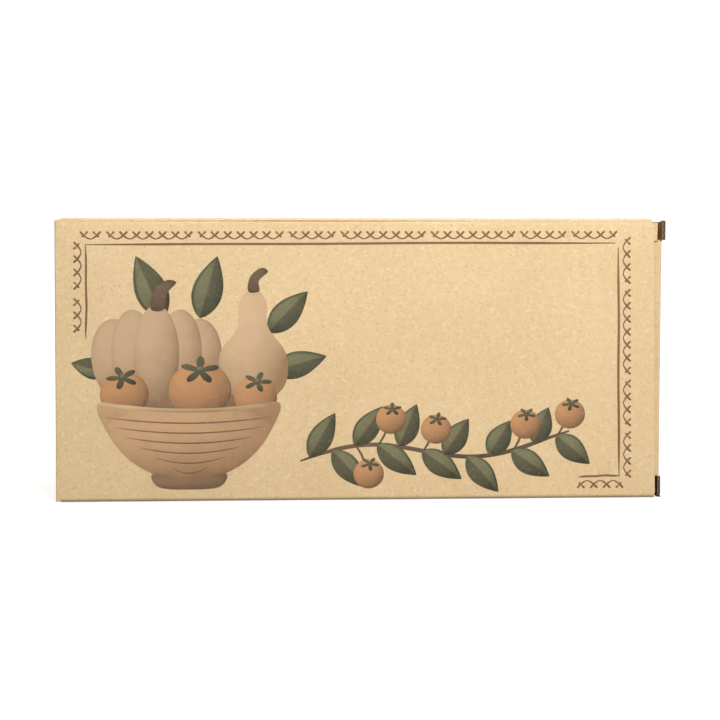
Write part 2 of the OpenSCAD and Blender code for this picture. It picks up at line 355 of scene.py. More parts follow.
def ink_material(name, deep, light, cover=0.9):
    """Ink that is lighter where its form faces the light, and lets the pale fibres of the board through."""
    mat, tree, shader = material(name, 0.72, 0.2)
    fibre = use(tree, "board_fibre")
    ink = mix(tree, use(tree, "form_light").outputs["Lit"], srgb(*deep), srgb(*light))
    thin = between(tree, fibre.outputs["Pale"], 0.0, 1.0, 1.1 - cover, 1 - cover)
    tree.links.new(mix(tree, thin, ink, srgb(236, 205, 160)), shader.inputs["Base Color"])
    bump(tree, shader, fibre.outputs["Height"], 0.2, 0.0002)
    return mat


def wood_material(name, light, deep, pore, stretch, rough=0.5, depth=0.35):
    mat, tree, shader = material(name, rough, 0.35)
    grain = use(tree, "wood_grain")
    grain.inputs["Stretch"].default_value = stretch
    base = mix(tree, grain.outputs["Band"], srgb(*light), srgb(*deep))
    pores = math_node(tree, "MULTIPLY", grain.outputs["Pore"], depth)
    tree.links.new(mix(tree, pores, base, srgb(*pore)), shader.inputs["Base Color"])
    bump(tree, shader, grain.outputs["Height"], 0.12, 0.0003)
    return mat, tree, shader


kraft = board_material("kraft_liner", (230, 200, 153), (241, 211, 164), (253, 237, 203), (190, 148, 101))
cut_edge = board_material("kraft_cut_edge", (150, 124, 92), (168, 140, 106), (190, 164, 128), (104, 82, 58))
# The cut edge of a lock corner: grey-brown and darker than the other cut edges, as painted shade.
painted_shade_edge = board_material("kraft_painted_shade_edge", (134, 120, 102), (150, 136, 118), (168, 152, 134), (104, 90, 74))
# The dark core colour is painted shade: the shadow in the hollows of a cut edge.
core_shade = board_material("kraft_core_shade", (58, 42, 26), (70, 52, 34), (84, 64, 44), (40, 28, 16))
# Painted shade inside the slits of the lock corners: near-black low down, lighter brown high up.
slit_low = board_material("slit_shade_low", (70, 48, 18), (82, 58, 26), (92, 68, 34), (54, 36, 12))
slit_high = board_material("slit_shade_high", (138, 104, 60), (152, 116, 70), (166, 130, 82), (110, 80, 44))

ink_line = ink_material("ink_umber_line", (112, 78, 58), (136, 100, 76), 0.94)
ink_stitch = ink_material("ink_stitch", (108, 76, 52), (140, 104, 74), 0.94)
ink_taupe = ink_material("ink_taupe", (138, 104, 78), (208, 174, 138))
ink_sand = ink_material("ink_sand", (150, 114, 82), (222, 188, 148))
ink_cocoa = ink_material("ink_cocoa", (92, 68, 52), (140, 106, 80))
ink_wood = ink_material("ink_wood", (136, 98, 68), (208, 166, 124))
ink_clay = ink_material("ink_clay", (104, 68, 48), (204, 146, 98))
ink_leaf = ink_material("ink_leaf", (44, 48, 38), (86, 90, 68), 0.96)
ink_moss = ink_material("ink_moss", (66, 74, 54), (118, 120, 88), 0.94)
ink_bark = ink_material("ink_bark", (70, 54, 46), (108, 86, 70), 0.95)

tray_wood, _, _ = wood_material("tray_wood", (228, 190, 146), (205, 160, 114), (160, 112, 72), (7, 85, 85))
rabbit_stain, _, _ = wood_material("rabbit_stain", (205, 178, 150), (190, 160, 132), (150, 122, 98), (60, 60, 8), 0.6)
ear_stain, _, _ = wood_material("ear_stain", (172, 134, 104), (154, 116, 88), (116, 84, 62), (60, 60, 8), 0.6)
paw_stain, _, _ = wood_material("paw_stain", (98, 72, 60), (84, 62, 52), (60, 44, 38), (60, 60, 8), 0.6)
face_brown, _, _ = wood_material("face_brown", (84, 60, 50), (72, 52, 44), (50, 36, 30), (60, 60, 8), 0.6)
blush, _, _ = wood_material("blush_pink", (222, 152, 128), (212, 140, 116), (190, 122, 100), (60, 60, 8), 0.65)
carrot_stain, tree, shader = wood_material("carrot_stain", (204, 122, 74), (184, 100, 56), (140, 70, 40),
                                           (90, 90, 10))
tip = add(tree, "Attribute", attribute_name="tip_shade").outputs["Fac"]
skin = shader.inputs["Base Color"].links[0].from_socket
tree.links.new(mix(tree, tip, skin, srgb(74, 46, 34)), shader.inputs["Base Color"])

felt, tree, shader = material("green_felt", 0.95, 0.1)
fuzz = use(tree, "felt_fuzz")
green = mix(tree, fuzz.outputs["Tone"], srgb(48, 68, 44), srgb(72, 94, 58))
green = mix(tree, math_node(tree, "MULTIPLY", fuzz.outputs["Fuzz"], 0.5), green, srgb(112, 130, 88))
tree.links.new(green, shader.inputs["Base Color"])
shader.inputs["Sheen Weight"].default_value = 0.25
bump(tree, shader, fuzz.outputs["Height"], 0.5, 0.0004)


# Carton boards: sections with rounded folds, and a pressed score under the upper fold of each wall

# The score: below the top, its half width and its depth
SCORE_AT, SCORE_W, SCORE_D = 1.95, 0.5, 0.14
# How much deeper it is on the front, at which x and over which reach
SCORE_DEEP, SCORE_X, SCORE_REACH = 0.75, -25, 60
# The height and depth over which a wall leans back to it, and where the fold starts above it, in degrees
CROWN, CROWN_D, FOLD_FROM = 9.0, 0.25, 30
# The raw end: where the upper fold stops, where the cut lies at the bottom and the top, and how far it is pressed in
NOTCH_X, RAW_LOW, RAW_HIGH, PRESS = 164.4, 167.1, 165.6, 0.3
# The tongue beside the upper slit: its end, height, middle above the slit, and the sink of its lower end
TONGUE_END, TONGUE_H, TONGUE_UP, TONGUE_SINK = 168.0, 10.0, 4.6, 0.9
# Where the upper and the lower fold end beside the hinge
FOLD_END, LOW_FOLD_END = 166.6, 167.35
# How far the fold of the tuck stands out, and how far its top leans out
PROUD, FOLD_LEAN = 0.9, 0.55


def wall_face():
    """Outer line of a wall: a plain lower fold, and an upper edge that leans back up to its pressed score."""
    rise = CROWN - SCORE_AT - SCORE_W
    return (arc(-HALF_D + FOLD_R, FOLD_R, FOLD_R, 225, 180, 6)
            + [(-HALF_D + CROWN_D * t * t, HIGH - CROWN + rise * t) for t in (0, 0.25, 0.5, 0.75, 1)])


def wall_section():
    c, top = -HALF_D + FOLD_R, HIGH - FOLD_R
    score = [(-HALF_D + CROWN_D + SCORE_D, HIGH - SCORE_AT)]
    face = wall_face() + score + arc(c, top, FOLD_R, 180 - FOLD_FROM, 135, 4)
    return face + arc(c, top, FOLD_IN, 135, 180, 3) + arc(c, FOLD_R, FOLD_IN, 180, 225, 3)


def wall_end_section():
    """Past the end of the lid, where the upper fold is cut away."""
    c, face = -HALF_D + FOLD_R, wall_face()
    return face + [(c - FOLD_IN, face[-1][1])] + arc(c, FOLD_R, FOLD_IN, 180, 225, 3)


def fold_section():
    """The upper half of a top fold alone, where it runs on past the end of the lid."""
    c, top = -HALF_D + FOLD_R, HIGH - FOLD_R
    return arc(c, top, FOLD_R, 135, 90, 6) + arc(c, top, FOLD_IN, 90, 135, 3)


def lid_section():
    c = HALF_D - FOLD_R
    z = HIGH - FOLD_R
    return (arc(-c, z, FOLD_R, 135, 90, 6) + arc(c, z, FOLD_R, 90, 45, 6)
            + arc(c, z, FOLD_IN, 45, 90, 3) + arc(-c, z, FOLD_IN, 90, 135, 3))


def raw_x(z):
    """Where the cut end of a wall lies at a height: it leans in towards the top."""
    return RAW_LOW + (RAW_HIGH - RAW_LOW) * z / HIGH


def press_end(obj, sign):
    """The cut end leans in towards the top, and the outer face slopes in a little towards it."""
    for v in obj.data.vertices:
        if abs(v.co.x) > (RAW_END - 0.01) * MM:
            v.co.x = sign * raw_x(v.co.z / MM) * MM
            if abs(v.co.y) > (HALF_D - CROWN_D - 0.1) * MM:
                v.co.y += sign * PRESS * MM
    dress(obj, kraft)


def press_score(obj):
    """The score under the upper fold is pressed deeper along the middle of the panel."""
    pick(obj)
    bpy.ops.object.mode_set(mode="EDIT")
    for x in range(-150, 130, 10):
        bpy.ops.mesh.select_all(action="SELECT")
        bpy.ops.mesh.bisect(plane_co=(x * MM, 0, 0), plane_no=(1, 0, 0))
    bpy.ops.object.mode_set(mode="OBJECT")
    for v in obj.data.vertices:
        if abs(v.co.z / MM - HIGH + SCORE_AT) < 0.05:
            v.co.y += SCORE_DEEP * math.exp(-((v.co.x / MM - SCORE_X) / SCORE_REACH) ** 2) * MM
    dress(obj, kraft)


lid = lid_section()
floor_board = [(y, HIGH - z) for y, z in lid]
for name, turn, sign in (("front", Matrix.Identity(4), 1), ("back", HALF_TURN, -1)):
    board = solid(name + "_board", [wall_section()], NOTCH_X + HINGE_END,
                  turn @ at((NOTCH_X - HINGE_END) / 2, 0, 0) @ ALONG_X, kraft, "carton",
                  [name + "_panel"])
    if name == "front":
        press_score(board)
    end = solid(name + "_board_end", [wall_end_section()], RAW_END - NOTCH_X,
                turn @ at((NOTCH_X + RAW_END) / 2, 0, 0) @ ALONG_X, kraft, "carton")
    press_end(end, sign)
    corner = [(RAW_HIGH - 0.1, PRESS + 0.02 - HALF_D), (RAW_HIGH + 0.5, 0.15 - HALF_D),
              (TONGUE_END - 0.2, 0.25 - HALF_D), (TONGUE_END, 0.5 - HALF_D),
              (TONGUE_END, BOARD - HALF_D), (RAW_HIGH - 0.1, BOARD - HALF_D)]
    tongue = solid(name + "_board_corner", [corner], TONGUE_H, turn @ at(0, 0, HIGH - SLIT + TONGUE_UP),
                   kraft, "carton")
    for v in tongue.data.vertices:
        if v.co.z < (HIGH - SLIT) * MM and abs(v.co.y) > (HALF_D - 0.6) * MM:
            v.co.y += sign * TONGUE_SINK * MM
    upper = fold_section()
    lower = [(y, HIGH - z) for y, z in upper]
    for label, loop, x0, x1 in (("_fold_end", upper, -FOLD_END, -DUST_END),
                                ("_fold_end_low", lower, -LOW_FOLD_END, -DUST_END),
                                ("_raw_fold", upper, DUST_END, NOTCH_X),
                                ("_raw_fold_low", lower, DUST_END, RAW_LOW - 0.1)):
        solid(name + label, [loop], x1 - x0, turn @ at((x0 + x1) / 2, 0, 0) @ ALONG_X,
              kraft, "carton")
solid("top_board", [lid], 2 * DUST_END, ALONG_X, kraft, "carton", ["top_panel"])
solid("bottom_board", [floor_board], 2 * DUST_END, ALONG_X, kraft, "carton", ["bottom_panel"])

for name in ("glue_flap", "right_closure", "right_tuck", "right_dust_top", "right_dust_bottom",
             "left_closure", "left_tuck", "left_dust_top", "left_dust_bottom"):
    dress(nodes[name], kraft)


# Creases: the board bends from one panel to the next across each fold

# A crease lies just over the faces of its boards, and its ends run just under them
SKIN, SUNK = BOARD / 2 + 0.03, BOARD / 2 - 0.03
# Half the width that bends, the run on each board, and the span of the dust flaps' folds
BEND, RUN, DUST_FROM, DUST_TO = 0.62, 1.8, -47.6, 50.2


def crease(name, loop, depth, matrix, lean=0.0):
    """A bend from one board to the next; lean is how far its outer fold goes out at the top."""
    obj = settle([outline(name, [loop], depth)], matrix)
    for v in obj.data.vertices:
        x, y, z = v.co / MM
        if z > HIGH / 2 and abs(x) > PIVOT_X - 0.3 and abs(y) > -TUCK_Y - 0.1:
            v.co.x += math.copysign(lean * MM, x)
    dress(obj, kraft, 50)
    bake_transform(obj)


def bend(px, py, run_a, run_b):
    """Section of a square fold about a pivot: panel towards -x, flap towards -y."""
    outer = [(px - run_a, py + SUNK)] + arc(px, py, SKIN, 90, 0, 8) + [(px + SUNK, py - run_b)]
    inner = [(px - SUNK, py - run_b), (px - SKIN, py - 1.5 * SKIN), (px - 1.15 * SKIN, py - 1.15 * SKIN),
             (px - 1.5 * SKIN, py - SKIN), (px - run_a, py - SUNK)]
    return outer + inner


def tuck_bend():
    """Section of the fold of the tuck, which stands out and fills up behind the raw end of the wall."""
    along = (-math.cos(TUCK_TILT), math.sin(TUCK_TILT))
    out = (-math.sin(TUCK_TILT), -math.cos(TUCK_TILT))
    px, py = PIVOT_X, TUCK_Y

    def on_tuck(side, s):
        return (px + side * SKIN * out[0] + s * along[0], py + side * SKIN * out[1] + s * along[1])

    round_fold = [(x, y - PROUD * ((py - y) / SKIN) ** 2) for x, y in arc(px, py, SKIN, 0, -102, 9)]
    full = BOARD + PRESS + 0.06 - HALF_D
    behind = [(RAW_LOW + 0.3, full), (RAW_HIGH, full + 0.15), on_tuck(1, 8.0)]
    outer = [(px + SUNK, py + 2.4)] + round_fold + behind
    inner = [on_tuck(-1, 2.8), on_tuck(-1, 1.4), (px - 1.05 * SKIN, py + 1.25 * SKIN),
             (px - SKIN, py + 1.6), (px - SKIN, py + 2.4)]
    return outer + inner


for side, turn, sign in (("right", Matrix.Identity(4), 1), ("left", HALF_TURN, -1)):
    z0, z1 = 0.3, HIGH - 1.2
    crease(side + "_closure_crease", bend(PIVOT_X, HINGE_Y, RUN, RUN), z1 - z0, turn @ at(0, 0, (z0 + z1) / 2))
    z0, z1 = SLIT + 0.2, HIGH - SLIT - 1.1
    crease(side + "_tuck_crease", tuck_bend(), z1 - z0, turn @ at(0, 0, (z0 + z1) / 2),
           FOLD_LEAN)
    high = bend(DUST_X, HIGH - BOARD / 2, RUN, RUN)
    low = [(x, max(HIGH - z, 0)) for x, z in high]
    place = turn @ at(0, (DUST_FROM + DUST_TO) / 2, 0) @ UPRIGHT
    crease(side + "_dust_top_crease", high, DUST_TO - DUST_FROM, place)
    crease(side + "_dust_bottom_crease", low, DUST_TO - DUST_FROM, place)


# Raw cut edges: two liners with the flute between them over a dark core, which is painted shade in the hollows of the
# flute

LINER, WAVE, FLUTE_W, EDGE_OUT = 0.3, 3.4, 0.26, 0.3
# Start and length of the free edges of a tuck and a dust flap, and what the raw end of a wall leaves at both ends
TUCK_EDGE_Z, TUCK_EDGE_L, DUST_EDGE_Y, DUST_EDGE_L, CUT_IN = 11.4, 134.9, -40.9, 57.1, 2.4


def cut(name, body, start, along, across, length, liner=kraft, flute=cut_edge):
    """A fluted edge from start, in mm; it faces along x across."""
    along, across = Vector(along).normalized(), Vector(across).normalized()
    place = Matrix((along, across, along.cross(across))).transposed().to_4x4()
    place.translation = Vector(start) * MM
    half = BOARD / 2
    bars = [[(0, s * half), (length, s * half), (length, s * (half - LINER)), (0, s * (half - LINER))]
            for s in (1, -1)]
    steps = max(int(length / WAVE * 8), 8)
    wave = [(length * i / steps, (half - LINER) * math.sin(2 * math.pi * length * i / steps / WAVE))
            for i in range(steps + 1)]
    give(dress(settle([outline(name + "_liners", bars, 2 * EDGE_OUT)], place), liner), body)
    give(dress(settle([outline(name + "_flute", [stroke(wave, FLUTE_W, 1.0)], 2 * EDGE_OUT)], place), flute),
         body)
    # The dark core: painted shade in the hollows of the flute.
    core = [(0.02, half - 0.04), (length - 0.02, half - 0.04), (length - 0.02, 0.04 - half), (0.02, 0.04 - half)]
    give(dress(settle([outline(name + "_core", [core], 0.1)], place), core_shade), body)


tuck_way = Vector((-math.cos(TUCK_TILT), math.sin(TUCK_TILT), 0))
tuck_out = Vector((-math.sin(TUCK_TILT), -math.cos(TUCK_TILT), 0))
tuck_end = Vector((PIVOT_X, TUCK_Y, TUCK_EDGE_Z)) + tuck_way * TUCK_L
UP = Vector((0, 0, 1))
# Where a lock corner's cut edge in painted shade starts above its lower end, and the foot of a lower one, from its
# rim and the ground
SHADE_EDGE_UP = 0.9
LOCK_FOOT = ((1.1, 1.5), (1.85, 0.35), (1.7, 0.05), (0.5, 0.3), (-1.3, 0.6), (-1.5, 1.5))
for side, turn in (("right", Matrix.Identity(3)), ("left", HALF_TURN.to_3x3())):
    cut(side + "_tuck_edge", side + "_tuck", turn @ tuck_end, UP, turn @ -tuck_out, TUCK_EDGE_L)
    cut(side + "_panel_edge", "carton", turn @ Vector((raw_x(CUT_IN), PRESS - HALF_D + BOARD / 2, CUT_IN)),
        turn @ Vector((RAW_HIGH - RAW_LOW, 0, HIGH)), turn @ Vector((0, -1, 0)), HIGH - 2 * CUT_IN)
    for label, z, up in (("top", HIGH - BOARD / 2 - DUST_L, -1), ("bottom", BOARD / 2 + DUST_L, 1)):
        cut(side + "_dust_" + label + "_edge", side + "_dust_" + label, turn @ Vector((DUST_X, DUST_EDGE_Y, z)),
            turn @ Vector((0, 1, 0)), turn @ Vector((-up, 0, 0)), DUST_EDGE_L)
    for label, low, high, nick, tip, deep, flare, shade in (
            ("low", 0.5, SLIT, -0.45, 0.0, 0.8, LOW_FLARE, slit_low),
            ("high", HIGH - SLIT - 0.9, HIGH - TRIM, 1.4, 0.9, 0.6, HIGH_FLARE, slit_high)):
        inside, end = PIVOT_X - BOARD / 2, -HALF_D + LEDGE_SET
        cut(side + "_ledge_" + label + "_edge", side + "_closure",
            turn @ Vector((PIVOT_X + flare, end, low + SHADE_EDGE_UP)), UP, turn @ Vector((1, 0, 0)),
            high + 0.8 * tip - low - SHADE_EDGE_UP, painted_shade_edge, painted_shade_edge)
        root = Vector((inside + (1 - deep) * flare, end + deep * (SLIT + TUCK_Y - end), 0))
        rim = Vector((inside + flare, end + 0.1, 0))
        along, long = (rim - root).normalized(), (rim - root).length
        place = Matrix((along, UP, along.cross(UP))).transposed().to_4x4()
        place.translation = (root - 0.12 * along.cross(UP)) * MM
        # A dark skin on the inner face of each lock corner: painted shade in its slit.
        skin = [(0, low), (long - 2.4, low), (long, low + nick), (long, high + tip), (0.3 * long, high - 0.2),
                (0, high - 0.2)]
        solid(side + "_ledge_" + label + "_inside", [skin], 0.3, turn.to_4x4() @ place, shade, side + "_closure")
        if label == "low":
            # The foot is painted near-black in the core's colour, as painted shade.
            foot = [(inside + flare + x, z) for x, z in LOCK_FOOT]
            solid(side + "_ledge_low_foot", [foot], 0.5, turn.to_4x4() @ at(0, end, 0) @ UPRIGHT, core_shade,
                  side + "_closure")


# Printed front: a stitched border and a plain still life, as flat ink on the board

INK = 0.035


def printed(name, shapes, layer, ink):
    """Each shape is a closed loop in x and z on the front panel; a higher layer lies over a lower one."""
    parts = [outline(name, [shape]) for shape in shapes]
    pick(*parts)
    bpy.ops.object.convert(target="MESH")
    for obj, shape in zip(parts, shapes):
        xs, zs = [x for x, _ in shape], [z for _, z in shape]
        middle = [(max(xs) + min(xs)) / 2 * MM, 0, (max(zs) + min(zs)) / 2 * MM]
        half = [(max(xs) - min(xs)) / 2 * MM, 1, (max(zs) - min(zs)) / 2 * MM]
        for label, value in (("form_middle", middle), ("form_half", half)):
            marks = obj.data.attributes.new(label, "FLOAT_VECTOR", "POINT")
            marks.data.foreach_set("vector", value * len(obj.data.vertices))
    place = at(0, -HALF_D - INK - 0.012 * layer, 0) @ UPRIGHT
    give(dress(settle(parts, place, name), ink), "carton")


def smooth(points, n=8):
    """A closed smooth outline through the points."""
    out, count = [], len(points)
    for i in range(count):
        four = [points[(i + k - 1) % count] for k in range(4)]
        for j in range(n):
            t = j / n
            out.append(tuple(0.5 * (2 * b + (c - a) * t + (2 * a - 5 * b + 4 * c - d) * t * t
                                    + (3 * b - a - 3 * c + d) * t ** 3) for a, b, c, d in zip(*four)))
    return out


def ellipse(cx, cz, rx, rz, turn=0.0, n=44):
    return turned([(rx * x, rz * z) for x, z in ring(0, 0, 1, n)], cx, cz, turn)


def leaf_edge(long, wide, n=18):
    """One side of a leaf that lies along x."""
    return [(long * t, wide / 2 * math.sin(math.pi * t ** 0.8) ** 0.9) for t in [i / n for i in range(n + 1)]]


def leaf(x, z, long, wide, turn):
    edge = leaf_edge(long, wide)
    return turned(edge + [(u, -v) for u, v in edge[-2:0:-1]], x, z, turn)


def half_leaf(x, z, long, wide, turn):
    return turned(leaf_edge(long, wide), x, z, turn)


def line(x0, z0, x1, z1, n=28, wave=0.18):
    long = math.hypot(x1 - x0, z1 - z0)
    out = []
    for i in range(n + 1):
        t = i / n
        off = wave * math.sin(5.3 * t + x0) + 0.6 * wave * math.sin(13.7 * t + z0)
        out.append((x0 + (x1 - x0) * t - (z1 - z0) / long * off, z0 + (z1 - z0) * t + (x1 - x0) / long * off))
    return out


# Half the width of a stitch, its depth, the gap between groups, and the longest step from one to the next
STITCH_W, STITCH_D, STITCH_GAP, STITCH_STEP = 5.7, 4.2, 3.2, 7.4


def stitch(middle, along, inward, start=-1.0, stop=1.0):
    """One arc of a stitched row; it bulges inward, and its ends cross those of the next."""
    out = []
    for i in range(13):
        t = start + (stop - start) * i / 12
        out.append(middle + along * STITCH_W * t + inward * STITCH_D * (0.5 - abs(t) ** 1.6))
    return stroke([tuple(point) for point in out], 1.0, 0.75, 0.8)


def stitch_row(start, stop, inward, groups):
    """Groups of crossing arcs from start to stop, each closed at both ends by the tail of one more arc."""
    start, inward = Vector(start), Vector(inward)
    along = Vector(stop) - start
    bare = 2 * STITCH_W * len(groups) + STITCH_GAP * (len(groups) - 1)
    step = (along.length - bare) / max(sum(groups) - len(groups), 1)
    along.normalize()
    rows, far = ([], []), STITCH_W
    for count in groups:
        for k in range(-1, count + 1):
            low, high = (0.45 if k < 0 else -1.0), (-0.45 if k == count else 1.0)
            spot = start + along * (far + min(step, STITCH_STEP) * k)
            rows[k % 2].append(stitch(spot, along, inward, low, high))
        far += step * (count - 1) + 2 * STITCH_W + STITCH_GAP
    return rows


def border():
    lines = [stroke(line(-153.0, 143.2, 143.6, 144.0, 60), 1.35),
             stroke(line(145.3, 141.6, 146.8, 12.8, 40), 1.4),
             stroke(line(147.2, 12.5, 123.2, 12.1, 16), 1.2),
             stroke(line(-152.7, 143.2, -153.0, 91.0, 24), 1.2)]
    printed("border_lines", lines, 0, ink_line)
    odd, even = [], []
    for start, stop, inward, groups in (((-156, 148.1), (144.6, 148.6), (0, -1), (1, 6, 6, 3, 6, 6, 3, 3)),
                                        ((150.2, 147.2), (151.4, 11.4), (-1, 0), (3, 6, 3, 3)),
                                        ((122.8, 7.7), (150.7, 7.6), (0, 1), (3,)),
                                        ((-157.5, 144.4), (-157.7, 93.5), (1, 0), (3, 2))):
        rows = stitch_row(start, stop, inward, groups)
        even += rows[0]
        odd += rows[1]
    printed("border_stitches_a", odd, 1, ink_stitch)
    printed("border_stitches_b", even, 2, ink_stitch)


def foliage(name, leaves, layer):
    """Leaves with a light half and a midrib; each is x, z, length, width and turn."""
    printed(name, [leaf(*spot) for spot in leaves], layer, ink_leaf)
    printed(name + "_lights", [half_leaf(x, z, 0.97 * long, 0.8 * wide, turn) for x, z, long, wide, turn in leaves],
            layer + 1, ink_moss)
    ribs = []
    for x, z, long, _, turn in leaves:
        ribs.append(stroke(turned([(0.09 * long * i, 0) for i in range(11)], x, z, turn), 0.7))
    printed(name + "_ribs", ribs, layer + 2, ink_bark)


def cap(x, z, size, turn, points=5):
    """The leafy cap of a fruit, seen a little from above."""
    out = []
    for i in range(90):
        a = 2 * math.pi * i / 90
        r = size * (0.26 + 0.74 * abs(math.cos(points * (a - math.radians(turn)) / 2)) ** 1.7)
        out.append((x + r * math.cos(a), z + 0.72 * r * math.sin(a)))
    return out


BOWL_X = -96


def still_life():
    m = BOWL_X
    foliage("back_leaves", [(m - 14, 102, 38, 18, 114), (m + 6, 102, 36, 17, 74), (m - 44, 72, 22, 12, 166),
                            (m + 44, 94, 32, 15, 46), (m + 46, 72, 32, 15, 16)], 0)
    printed("bowl_inside", [ellipse(m, 54.5, 48.5, 7.2)], 3, ink_cocoa)
    printed("pumpkin_sides", [ellipse(m - 40, 79, 14, 23, 7), ellipse(m + 4, 79, 14, 23, -7)], 4, ink_taupe)
    printed("pumpkin_ribs", [ellipse(m - 30, 81, 13, 26, 4), ellipse(m - 6, 81, 13, 26, -4)], 5, ink_taupe)
    printed("pumpkin_front", [ellipse(m - 18, 82, 12.5, 27.5)], 6, ink_taupe)
    printed("gourd", [smooth([(m + 37, 54), (m + 53, 64), (m + 54, 82), (m + 44, 97), (m + 43, 111), (m + 36, 119),
                              (m + 28, 111), (m + 27, 97), (m + 17, 82), (m + 19, 64)])], 7, ink_sand)
    printed("stems", [smooth([(m - 21, 107), (m - 20, 116), (m - 13, 123),
                              (m - 7, 122), (m - 12, 116), (m - 14, 107)]),
                      smooth([(m + 33, 117), (m + 34, 125), (m + 40, 130),
                              (m + 44, 128), (m + 39, 123), (m + 39, 117)])], 8, ink_bark)
    printed("fruit_back", [ellipse(m - 36, 60, 13.5, 12.5), ellipse(m + 37, 58, 12, 11.5)], 8, ink_clay)
    printed("fruit_front", [ellipse(m + 6, 62, 17.5, 15.5)], 9, ink_clay)
    printed("fruit_caps", [cap(m + 6, 73, 11, 15), cap(m - 37, 69, 9, 40), cap(m + 38, 66.5, 8, 0)], 10, ink_leaf)
    printed("fruit_stalks", [ellipse(m + 6, 74, 1.6, 1.2), ellipse(m - 37, 69.8, 1.4, 1),
                             ellipse(m + 38, 67.2, 1.2, 0.9)], 11, ink_moss)
    printed("bowl", [smooth([(m - 50, 55), (m - 46, 40), (m - 35, 25), (m - 19, 15), (m, 12), (m + 19, 15),
                             (m + 35, 25), (m + 46, 40), (m + 50, 55), (m + 26, 51.4), (m, 50.2),
                             (m - 26, 51.4)])], 12, ink_wood)
    printed("bowl_foot", [smooth([(m - 20, 15.5), (m - 17, 8), (m, 6.6), (m + 17, 8), (m + 20, 15.5), (m, 12.4)])],
            13, ink_cocoa)
    grain = []
    for i in range(6):
        half, z, sag = 46 - 4.2 * i - 0.6 * i * i, 47 - 5.6 * i, 3.4
        sagged = [(m + half * t, z - sag * (1 - t * t)) for t in [j / 12 - 1 for j in range(25)]]
        grain.append(stroke(sagged, 0.8, 0.2))
    printed("bowl_grain", grain, 13, ink_cocoa)
    printed("bowl_rim", [stroke([(m + 49.5 * t, 50.6 + 4.2 * t * t) for t in [j / 15 - 1 for j in range(31)]],
                                2.2, 0.6)], 14, ink_sand)


def branch():
    path = []
    for i in range(61):
        t = i / 60
        path.append((-34 + 152 * t, 22 + 12 * t + 6 * math.sin(7.0 * t)))
    printed("branch_stem", [stroke(path, 2.4, 0.4)], 0, ink_bark)
    leaves, fruit, caps, stalks = [], [], [], []
    for k, i in enumerate(range(2, 58, 5)):
        x, z = path[i]
        above = 1 if k % 2 == 0 else -1
        leaves.append((x, z, 29 - 0.5 * k + 2 * math.sin(3 * k), 13.5, 10 + above * (50 + 8 * math.sin(2 * k))))
        bx, bz = x + 8, z - above * (14 + 2 * math.sin(k))
        if k % 3 != 1 and bz > 13:
            stalks.append(stroke([(x + 1, z), (x + 4, z - above * 5), (bx, bz)], 1.3, 0.8))
            fruit.append(ellipse(bx, bz, 8.6, 8.2))
            caps.append(cap(bx + 0.6, bz + 5.6, 5.4, 30 * k))
    foliage("branch_leaves", leaves, 1)
    printed("branch_stalks", stalks, 4, ink_bark)
    printed("branch_fruit", fruit, 5, ink_clay)
    printed("branch_fruit_caps", caps, 6, ink_leaf)


border()
still_life()
branch()


# The game: tray, rabbit, ears

def carrot_spots():
    spots = []
    for side in (-1, 1):
        for dx, dy, size in ((0, 0, 0.76), (1, 1, 1.0), (1, -1, 0.88), (-1, -1, 1.0), (-1, 1, 0.88)):
            spots.append((side * (LOBE_X + dx * HOLE_STEP), side * dy * HOLE_STEP, size))
    return spots


def tray():
    e = 1.4
    lobe, waist = LOBE_R - e, WAIST_R + e
    tilt = math.degrees(math.atan2(MEET_X, WAIST_Y - MEET_Y))
    edge = arc(LOBE_X, 0, lobe, -LOBE_TURN, LOBE_TURN, 60)
    edge += arc(0, WAIST_Y, waist, -90 + tilt, -90 - tilt, 36)[1:-1]
    edge += arc(-LOBE_X, 0, lobe, 180 - LOBE_TURN, 180 + LOBE_TURN, 60)
    edge += arc(0, -WAIST_Y, waist, 90 + tilt, 90 - tilt, 36)[1:-1]
    loops = [edge] + [ring(x, y, HOLE_R * size + HOLE_ROOM + e, 40, True) for x, y, size in carrot_spots()]
    solid("tray_board", loops, 12, at(0, 0, (TRAY_LOW + TRAY_TOP) / 2), tray_wood, "rocker",
          ["balance_tray"], e)


def rabbit():
    e, hip_x, hip_r, head_z, head_r, thick = 4.0, 14, 36, 70, 42, 36
    circles = (ring(-hip_x, hip_r + FOOT, hip_r - e, 96) + ring(hip_x, hip_r + FOOT, hip_r - e, 96)
               + ring(0, head_z + FOOT, head_r - e, 96))
    loop = []
    for x, z in hull(circles + [(-hip_x + 2 * hip_x * i / 12, FOOT + e) for i in range(13)]):
        far = math.hypot(x, z - FOOT - ROCK_R)
        if far > ROCK_R - e:
            x, z = x * (ROCK_R - e) / far, FOOT + ROCK_R + (z - FOOT - ROCK_R) * (ROCK_R - e) / far
        loop.append((x, z))
    whole = settle([outline("rabbit_whole", [loop], thick, e, 5)], UPRIGHT)
    for name, level, upper in (("rabbit_foot_block", TRAY_LOW, False), ("rabbit_head_block", TRAY_TOP, True)):
        obj = whole.copy()
        obj.data = whole.data.copy()
        obj.name = obj.data.name = name
        bpy.context.collection.objects.link(obj)
        pick(obj)
        bpy.ops.object.mode_set(mode="EDIT")
        bpy.ops.mesh.select_all(action="SELECT")
        bpy.ops.mesh.bisect(plane_co=(0, 0, level * MM), plane_no=(0, 0, 1), use_fill=True,
                            clear_inner=upper, clear_outer=not upper)
        bpy.ops.object.mode_set(mode="OBJECT")
        give(dress(obj, rabbit_stain), "rocker", ["rabbit_upper" if upper else "rabbit_lower"])
    bpy.data.objects.remove(whole)


